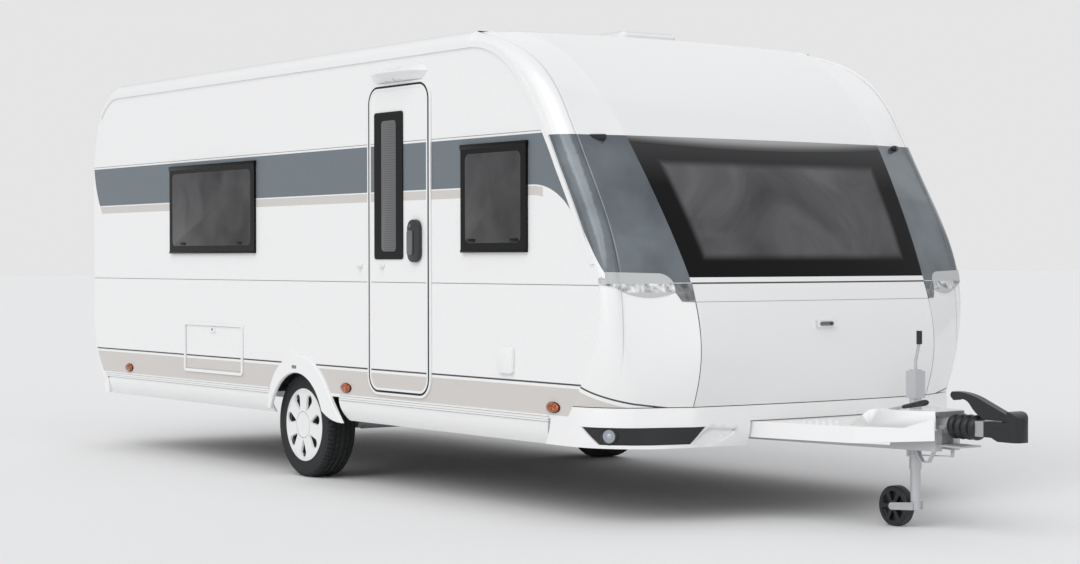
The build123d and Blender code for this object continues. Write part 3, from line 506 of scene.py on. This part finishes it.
housing = plate("door_lock_housing", low, (high.x, skin, high.z), 1, 52 * mm, 6 * mm, lock_black,
                "entrance_door")
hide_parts("door_handle")
plate("door_pull_lever", (low.x + 10 * mm, low.y - 9 * mm, low.z + 40 * mm),
      (low.x + 66 * mm, low.y + 2 * mm, low.z + 178 * mm), 1, 14 * mm, 4 * mm, lever_grey, "entrance_door")
lock_x, lock_z, lock_r = low.x + 36 * mm, high.z - 36 * mm, 11 * mm
form = bmesh.new()
made = bmesh.ops.create_cone(form, cap_ends=True, segments=32, radius1=lock_r, radius2=lock_r,
                             depth=4 * mm)["verts"]
bmesh.ops.rotate(form, verts=made, cent=(0, 0, 0), matrix=Matrix.Rotation(pi / 2, 3, "X"))
bmesh.ops.translate(form, verts=made, vec=(lock_x, low.y - 1 * mm, lock_z))
show("door_lock_cylinder", form, lever_grey, "entrance_door")

# Service hatch
# A white moulded frame with a raised rim round the hatch door, and a push lock in the middle of its top.
grey_plastic, shader, tree = material("pale_grey_asa", "BDBDBD", 0.45)
grain(tree, shader, 5 * mm, 0.05 * mm)
low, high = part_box("hatch_frame")
ring("hatch_rim", (low.x, low.z), (high.x, high.z), 26 * mm, 19 * mm, low.y - 9 * mm, low.y + 1 * mm,
     white_plastic, "caravan_body")
low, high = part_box("hatch_door")
seal_in = 4 * mm
ring("hatch_door_seal", (low.x + seal_in, low.z + seal_in), (high.x - seal_in, high.z - seal_in),
     14 * mm, 5 * mm, low.y - 1.5 * mm, low.y + 1 * mm, grey_plastic, "service_hatch")
middle = (low.x + high.x) / 2
plate("hatch_push_lock", (middle - 32 * mm, low.y - 9 * mm, high.z - 50 * mm),
      (middle + 32 * mm, low.y + 1 * mm, high.z - 12 * mm), 1, 12 * mm, 3 * mm, white_plastic,
      "service_hatch")
plate("hatch_lock_barrel", (middle - 9 * mm, low.y - 11 * mm, high.z - 36 * mm),
      (middle + 9 * mm, low.y - 8 * mm, high.z - 22 * mm), 1, 6 * mm, 1 * mm, lever_grey, "service_hatch")

# Wall fittings
# The flap of the mains socket ahead of the door, the door's holding catch beside it, the wheel arches'
# reflectors and the small position lamps over the slate corners.
flap_x, flap_z = (2.206, 2.337), (0.728, 0.868)
plate("socket_flap", place(flap_x[0], -half_width - 24 * mm, flap_z[0]),
      place(flap_x[1], -half_width + 1 * mm, flap_z[1]), 1, 16 * mm, 6 * mm, white_plastic, "caravan_body")
catch_z = 1.292
for label, ahead, foot, body in (("wall", 0.786, skin + 9 * mm, "caravan_body"),
                                 ("door", 1.040, skin, "entrance_door")):
    plate(f"{label}_catch_base", place(ahead - 20 * mm, skin - 6 * mm, catch_z - 12 * mm),
          place(ahead + 20 * mm, foot, catch_z + 12 * mm), 1, 8 * mm, 2 * mm, white_plastic, body)
    plate(f"{label}_catch_nose", place(ahead - 9 * mm, skin - 26 * mm, catch_z - 20 * mm),
          place(ahead + 9 * mm, skin - 4 * mm, catch_z + 4 * mm), 1, 7 * mm, 3 * mm, white_plastic, body)
grey_reflector, shader, tree = material("grey_reflector", "7A7C7E", 0.25, Coat_Weight=0.4)
grain(tree, shader, 3 * mm, 0.1 * mm)
lamp_black, shader, tree = material("black_abs", "161718", 0.3)
grain(tree, shader, 4 * mm, 0.05 * mm)
arch_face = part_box("wheel_arches")[1].y
reflector_x, reflector_z = (0.002, 0.056), (0.664, 0.684)
lamp_turn, (lamp_ahead, lamp_aside, lamp_up) = radians(38), (2.790, 1.049, 1.946)
for side, way in (("right", -1), ("left", 1)):
    span = sorted((way * (arch_face - 1 * mm), way * (arch_face + 2 * mm)))
    plate(f"arch_reflector_{side}", place(reflector_x[0], span[0], reflector_z[0]),
          place(reflector_x[1], span[1], reflector_z[1]), 1, 4 * mm, 1 * mm, grey_reflector, "caravan_body")
    form = bmesh.new()
    softened_box(form, (-12 * mm, -44 * mm, -13 * mm), (16 * mm, 44 * mm, 13 * mm), 0, 8 * mm, 4 * mm)
    bmesh.ops.rotate(form, verts=form.verts, cent=(0, 0, 0), matrix=Matrix.Rotation(way * lamp_turn, 3, "Z"))
    bmesh.ops.translate(form, verts=form.verts, vec=place(lamp_ahead, way * lamp_aside, lamp_up))
    show(f"position_lamp_{side}", form, lamp_black, "caravan_body")

# Locker lid lock
# A grey grip let into the lid's lower middle, with its key hole.
low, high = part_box("locker_lid")
grip_z, grip_half, grip_high = 0.991, 44 * mm, 10 * mm
plate("lid_lock_grip", (high.x - 6 * mm, -grip_half, grip_z - grip_high),
      (high.x + 1.5 * mm, grip_half, grip_z + grip_high), 0, 5 * mm, 1 * mm, lever_grey, "gas_locker_lid")
plate("lid_lock_barrel", (high.x, grip_half - 24 * mm, grip_z - 7 * mm),
      (high.x + 3.5 * mm, grip_half - 10 * mm, grip_z + 7 * mm), 0, 6 * mm, 1 * mm, lamp_black,
      "gas_locker_lid")

# Front lamps
# One clear moulding over a bright reflector on each corner: a pale upper lens, a chrome strip, a lower lens
# and a dark corner lamp beside the locker lid. A round fog lamp stands in each black bumper panel.
strip_span, corner_out, corner_top, fog_top, rib_pitch = (1.160, 1.203), 0.905, 1.2035, 0.6, 9 * mm
lamp_glass, shader, tree = material("clear_polycarbonate_over_chrome", "C4C6C7", 0.10, IOR=1.58,
                                    Coat_Weight=0.8, Coat_Roughness=0.03)
point, _, y, z = position(tree)
aside = add(tree, "Math", y, operation="ABSOLUTE")
strip = between(tree, z, *strip_span)
corner_lamp = all_of(tree, add(tree, "Math", aside, corner_out, operation="LESS_THAN"),
                     add(tree, "Math", z, corner_top, operation="LESS_THAN"))
fog_part = add(tree, "Math", z, fog_top, operation="LESS_THAN")
wave = add(tree, "TexNoise", Vector=point, Scale=14.0, Detail=4.0, Distortion=1.5)
bright = add(tree, "MapRange", Value=wave, From_Min=0.35, From_Max=0.65)
chrome = add(tree, "Mix", bright, linear("77797B"), linear("F6F6F6"), data_type="RGBA")
smoke = add(tree, "Mix", bright, linear("3C3D3F"), linear("85878A"), data_type="RGBA")
tone = linear("BCBEBF")
for mask, layer in ((strip, chrome), (corner_lamp, smoke), (fog_part, linear("9AA2AE"))):
    tone = add(tree, "Mix", mask, tone, layer, data_type="RGBA")
link(tree, tone, shader.inputs["Base Color"])
mirrors = add(tree, "Math", strip, fog_part, operation="MAXIMUM")
link(tree, add(tree, "Math", mirrors, 0.5, operation="MULTIPLY"), shader.inputs["Metallic"])
ribs = add(tree, "Math", add(tree, "Math", aside, 2 * pi / rib_pitch, operation="MULTIPLY"), operation="SINE")
link(tree, add(tree, "Bump", Height=ribs, Distance=0.5 * mm, Strength=0.5), shader.inputs["Normal"])
smooth("front_lamps", lamp_glass)

# Marker and tail lamps
# Amber side markers on black rubber bases, and red tail lamps let into the rear shell, amber in their upper
# part and finely ribbed.
tail_red, amber_foot, tail_pitch = "8E1418", 0.90, 8 * mm
red_lens, shader, tree = material("red_acrylic", tail_red, 0.10, IOR=1.49, Coat_Weight=0.5)
_, _, _, z = position(tree)
amber_field = add(tree, "Math", z, amber_foot, operation="GREATER_THAN")
link(tree, layered(tree, tail_red, (amber_field, "B5561A")), shader.inputs["Base Color"])
ribs = add(tree, "Math", add(tree, "Math", z, 2 * pi / tail_pitch, operation="MULTIPLY"), operation="SINE")
link(tree, add(tree, "Bump", Height=ribs, Distance=0.5 * mm, Strength=0.5), shader.inputs["Normal"])
smooth("rear_lamps", red_lens)
amber_lens, shader, tree = material("amber_acrylic", "A8481A", 0.12, IOR=1.49, Coat_Weight=0.6)
point = add(tree, "TexCoord").outputs["Object"]
depth = add(tree, "TexNoise", Vector=point, Scale=1 / (16 * mm), Detail=2.0)
shade = add(tree, "MapRange", depth, 0.4, 0.62)
tones = add(tree, "Mix", shade, linear("7C3210"), linear("D0661E"), data_type="RGBA")
link(tree, tones, shader.inputs["Base Color"])
cells = add(tree, "TexVoronoi", Vector=point, Scale=1 / (5 * mm)).outputs["Distance"]
link(tree, add(tree, "Bump", Height=cells, Distance=0.8 * mm, Strength=0.6), shader.inputs["Normal"])
base_rubber, shader, tree = material("black_rubber", "1C1D1E", 0.6)
grain(tree, shader, 2 * mm, 0.1 * mm)


def turned(form, rows, origin, axis, steps):
    """Add a body of revolution: rows of (radius, along) about an axis through origin."""
    axis = Vector(axis).normalized()
    across = axis.orthogonal().normalized()
    line = [form.verts.new(Vector(origin) + across * radius + axis * along) for radius, along in rows]
    edges = [form.edges.new(pair) for pair in zip(line, line[1:])]
    bmesh.ops.spin(form, geom=line + edges, cent=origin, axis=axis, dvec=(0, 0, 0), angle=2 * pi, steps=steps,
                   use_merge=True)
    bmesh.ops.remove_doubles(form, verts=form.verts, dist=1e-6)


marker_bases, marker_lenses = bmesh.new(), bmesh.new()
marker_z, marker_long, marker_high = 0.574, 2.2, 1.05       # the round rows are drawn out to an oval
base_rows = (0, 0.4), (27, 0.4), (27, 5), (25, 7), (0, 7)
lens_rows = (0, 6.5), (24, 6.5), (24, 10), (21, 15), (14, 18), (0, 19)
for ahead in (-2.352, 0.616, 2.680):
    for way in (-1, 1):
        origin = place(ahead, way * half_width, marker_z)
        for form, rows in ((marker_bases, base_rows), (marker_lenses, lens_rows)):
            old = set(form.verts)
            turned(form, [(r * mm, along * mm) for r, along in rows], origin, (0, way, 0), 32)
            new = [vert for vert in form.verts if vert not in old]
            bmesh.ops.scale(form, verts=new, vec=(marker_long, 1, marker_high),
                            space=Matrix.Translation(-origin))
show("marker_lamp_bases", marker_bases, base_rubber, "caravan_body")
lenses = show("marker_lamp_lenses", marker_lenses, amber_lens, "caravan_body")
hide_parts("marker_lamps")

# Wheels
# Road tyres of black rubber with four grooves and siped shoulders, on enamelled steel rims, behind moulded
# white covers that clip over the rim's edge.
rubber, shader, tree = material("tyre_rubber", "2F3031", 0.82, Specular_IOR_Level=0.3)
grain(tree, shader, 4 * mm, 0.3 * mm)
wheel_centre = (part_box("tyre_right")[0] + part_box("tyre_right")[1]) / 2
tyre_r, groove, shoulder, lugs = wheel_centre.z, 8 * mm, 70 * mm, 72
shoulder_rows = [(tyre_r - 26 * mm * (1 - cos(a)) * 0.9, shoulder + 22 * mm * sin(a))
                 for a in (0, 0.5, 1.0, 1.4)]
side_rows = [(r * mm, out * mm) for r, out in (
    (285, 91.5), (268, 93), (266, 92), (240, 93), (222, 90), (214, 91), (206, 86), (190, 82))]
half_rows = [(tyre_r, 0.0)]                                 # from the tread's middle out to the bead
for start in (13, 44):
    half_rows += [(tyre_r, start * mm), (tyre_r - groove, (start + 1) * mm),
                  (tyre_r - groove, (start + 9) * mm), (tyre_r, (start + 10) * mm)]
half_rows += shoulder_rows + side_rows
block_span, rib_end, siped_r = (24 * mm, 44 * mm), 54 * mm, 296 * mm
sipe_share, sipe_deep = 0.55, 4 * mm
for side, way in (("right", -1), ("left", 1)):
    centre = Vector((wheel_centre.x, way * abs(wheel_centre.y), wheel_centre.z))
    form = bmesh.new()
    turned(form, [(r, -a) for r, a in half_rows[::-1]] + half_rows[1:], centre, (0, 1, 0), lugs * 2)
    bmesh.ops.recalc_face_normals(form, faces=form.faces)
    sipes = []
    for face in form.faces:
        middle = face.calc_center_median() - centre
        step = int(atan2(middle.z, middle.x) / (2 * pi) * lugs * 2 + 1000)      # 1000 keeps it above zero
        out = sqrt(middle.x ** 2 + middle.z ** 2)
        in_shoulder = rib_end < abs(middle.y) and out > siped_r
        in_block = block_span[0] < abs(middle.y) < block_span[1] and out > tyre_r - 2 * mm
        if (in_shoulder and step % 2 == 0) or (in_block and step % 3 == 0):
            sipes.append(face)
    for face in bmesh.ops.extrude_discrete_faces(form, faces=sipes)["faces"]:
        normal = face.normal.copy()
        middle = face.calc_center_median()
        for vert in face.verts:
            vert.co = middle + (vert.co - middle) * sipe_share - normal * sipe_deep
    tyre = show("tyre_tread_" + side, form, rubber, "wheel_" + side)
    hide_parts("tyre_" + side)
rim_paint, shader, tree = material("rim_enamel", "4E5052", 0.5, Metallic=0.3)
grain(tree, shader, 6 * mm, 0.1 * mm)
cover_white, hub_line = "EDEDED", (78.5 * mm, 81.5 * mm)
cover_plastic, shader, tree = material("white_abs", cover_white, 0.32, Coat_Weight=0.2)
_, x, _, z = position(tree)
out = distance(tree, add(tree, "Math", x, axle.x, operation="SUBTRACT"),
               add(tree, "Math", z, axle.z, operation="SUBTRACT"))
link(tree, layered(tree, cover_white, (between(tree, out, *hub_line), "6E6E6E")), shader.inputs["Base Color"])
grain(tree, shader, 5 * mm, 0.05 * mm)
for side in ("right", "left"):
    smooth("rim_" + side, rim_paint)
    smooth("wheel_cover_" + side, cover_plastic)

# Chassis and jockey wheel
# Hot-dip galvanised steel rails, arms, axle, steadies and tubes: matt grey with faint spangle. The jockey
# wheel's crank has a black knob.
zinc_grey, zinc_metal = "C2C4C6", 0.45
galvanised, shader, tree = material("galvanised_steel", zinc_grey, 0.48, Metallic=zinc_metal)
point = add(tree, "TexCoord").outputs["Object"]
spangle = add(tree, "TexVoronoi", Vector=point, Scale=1 / (14 * mm))
tone = add(tree, "MapRange", Value=spangle.outputs["Color"], To_Min=0.40, To_Max=0.56)
link(tree, tone, shader.inputs["Roughness"])
for name in ("chassis", "axle_tube", "swing_arms", "overrun", "jockey_inner_tube", "jockey_fork",
             "steady_brackets", "steady_front_right", "steady_front_left", "steady_rear_right",
             "steady_rear_left"):
    smooth(name, galvanised)
knob_foot = 0.905
crank_paint, shader, tree = material("galvanised_steel_with_black_knob", zinc_grey, 0.45)
_, _, _, z = position(tree)
knob = add(tree, "Math", z, knob_foot, operation="GREATER_THAN")
link(tree, layered(tree, zinc_grey, (knob, "1E1F20")), shader.inputs["Base Color"])
link(tree, add(tree, "MapRange", knob, 0.0, 1.0, zinc_metal, 0.0), shader.inputs["Metallic"])
smooth("jockey_outer_tube", crank_paint)

# Black plastic and rubber fittings
# Moulded polyamide and rubber, fine grained and half matt. The coupling head is black over a bright steel
# neck, and the handbrake is a steel lever with a black grip.
black_plastic, shader, tree = material("black_polyamide", "1D1E20", 0.38)
grain(tree, shader, 2 * mm, 0.1 * mm)
for name in ("bellows", "coupling_handle", "jockey_wheel", "bumper_inserts", "wheel_boxes",
             "locker_bulkhead"):
    smooth(name, black_plastic)
head_black, neck_end = "1B1C1E", place(4.470, 0, 0).x
head_paint, shader, tree = material("black_coating_over_cast_steel", head_black, 0.35)
_, x, _, _ = position(tree)
neck = add(tree, "Math", x, neck_end, operation="LESS_THAN")
link(tree, layered(tree, head_black, (neck, "B4B6B8")), shader.inputs["Base Color"])
link(tree, add(tree, "MapRange", neck, 0.0, 1.0, 0.0, 0.6), shader.inputs["Metallic"])
smooth("coupling_head", head_paint)
bare_steel, shader, tree = material("zinc_plated_steel", "B8BABC", 0.4, Metallic=0.6)
grain(tree, shader, 4 * mm, 0.05 * mm)
brake_start, brake_end = place(3.862, -0.103, 0.575), place(4.172, -0.103, 0.634)
brake_way = brake_end - brake_start
form = bmesh.new()
turned(form, ((0, 0), (7 * mm, 0), (7 * mm, 0.16), (0, 0.16)), brake_start, brake_way, 16)
show("handbrake_rod", form, bare_steel, "handbrake")
form = bmesh.new()
turned(form, ((0, 0.14), (8 * mm, 0.141), (10 * mm, 0.148), (12 * mm, 0.20), (14 * mm, 0.25),
              (15.5 * mm, 0.285), (14 * mm, 0.300), (9 * mm, 0.311), (0, 0.315)), brake_start, brake_way, 24)
grip = show("handbrake_grip", form, black_plastic, "handbrake")
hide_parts("handbrake_lever")

# Fog lamps
# A black bezel and a bright bulb shield in the middle of each round lens.
fog_way, fog_r, fog_in = Vector((0.57, 0.82, 0)).normalized(), 34 * mm, 77 * mm
bezel_rows = [(fog_r + wide * mm, along * mm)
              for wide, along in ((-1, 0), (-1, 9), (3, 11), (11, 5), (11, 0), (-1, 0))]
shield_rows = [(r * mm, along * mm) for r, along in ((0, 9), (8, 8.4), (13, 6), (13, 2), (0, 2))]
bezels, shields = bmesh.new(), bmesh.new()
for way in (-1, 1):
    out = Vector((fog_way.x, way * fog_way.y, 0))
    middle = place(3.044, way * (half_width - fog_in), 0.447)
    turned(bezels, bezel_rows, middle, out, 40)
    turned(shields, shield_rows, middle, out, 24)
show("fog_lamp_bezels", bezels, lamp_black, "caravan_body")
show("fog_lamp_shields", shields, bare_steel, "caravan_body")

# Drawbar cover fittings
# Rows of low domes moulded into the cover's deck to give a foothold, and the side walls of its narrow
# front end.
studs = bmesh.new()
stud_r, stud_pitch, deck_height = 11 * mm, 48 * mm, 506 * mm
dome_rows = (0, 4 * mm), (stud_r * 0.55, 3.2 * mm), (stud_r * 0.9, 1.2 * mm), (stud_r, -1 * mm), (0, -1 * mm)
for first, last, aside in ((3.43, 3.80, 0.315), (3.45, 3.66, 0.245), (3.47, 3.62, 0.175),
                           (3.49, 3.58, 0.105)):
    ahead = first
    while ahead < last:
        for way in (-1, 1):
            turned(studs, dome_rows, place(ahead, way * aside, deck_height), (0, 0, 1), 12)
        ahead += stud_pitch
show("deck_studs", studs, gelcoat, "caravan_body")
cheek_thick, cheek_out = 4 * mm, 5 * mm
cheek_corners = ((3.862, 0.302, 0.425), (4.238, 0.125, 0.452), (4.238, 0.125, 0.560), (4.10, 0.190, 0.510),
                 (3.862, 0.302, 0.506))
for side, way in (("right", -1), ("left", 1)):
    cheek = bmesh.new()
    face = cheek.faces.new([cheek.verts.new(place(ahead, way * (aside + cheek_out), up))
                            for ahead, aside, up in cheek_corners])
    wall = bmesh.ops.extrude_face_region(cheek, geom=[face])["geom"]
    shift(cheek, wall, (-cheek_thick * 0.4, -way * cheek_thick, 0))
    show(f"cover_cheek_{side}", cheek, gelcoat, "caravan_body")

# Caravan floor
# Phenolic-faced plywood on a foam core.
plywood, shader, tree = material("phenolic_plywood", "4A4038", 0.6)
grain(tree, shader, 12 * mm, 0.2 * mm)
smooth("floor", plywood)
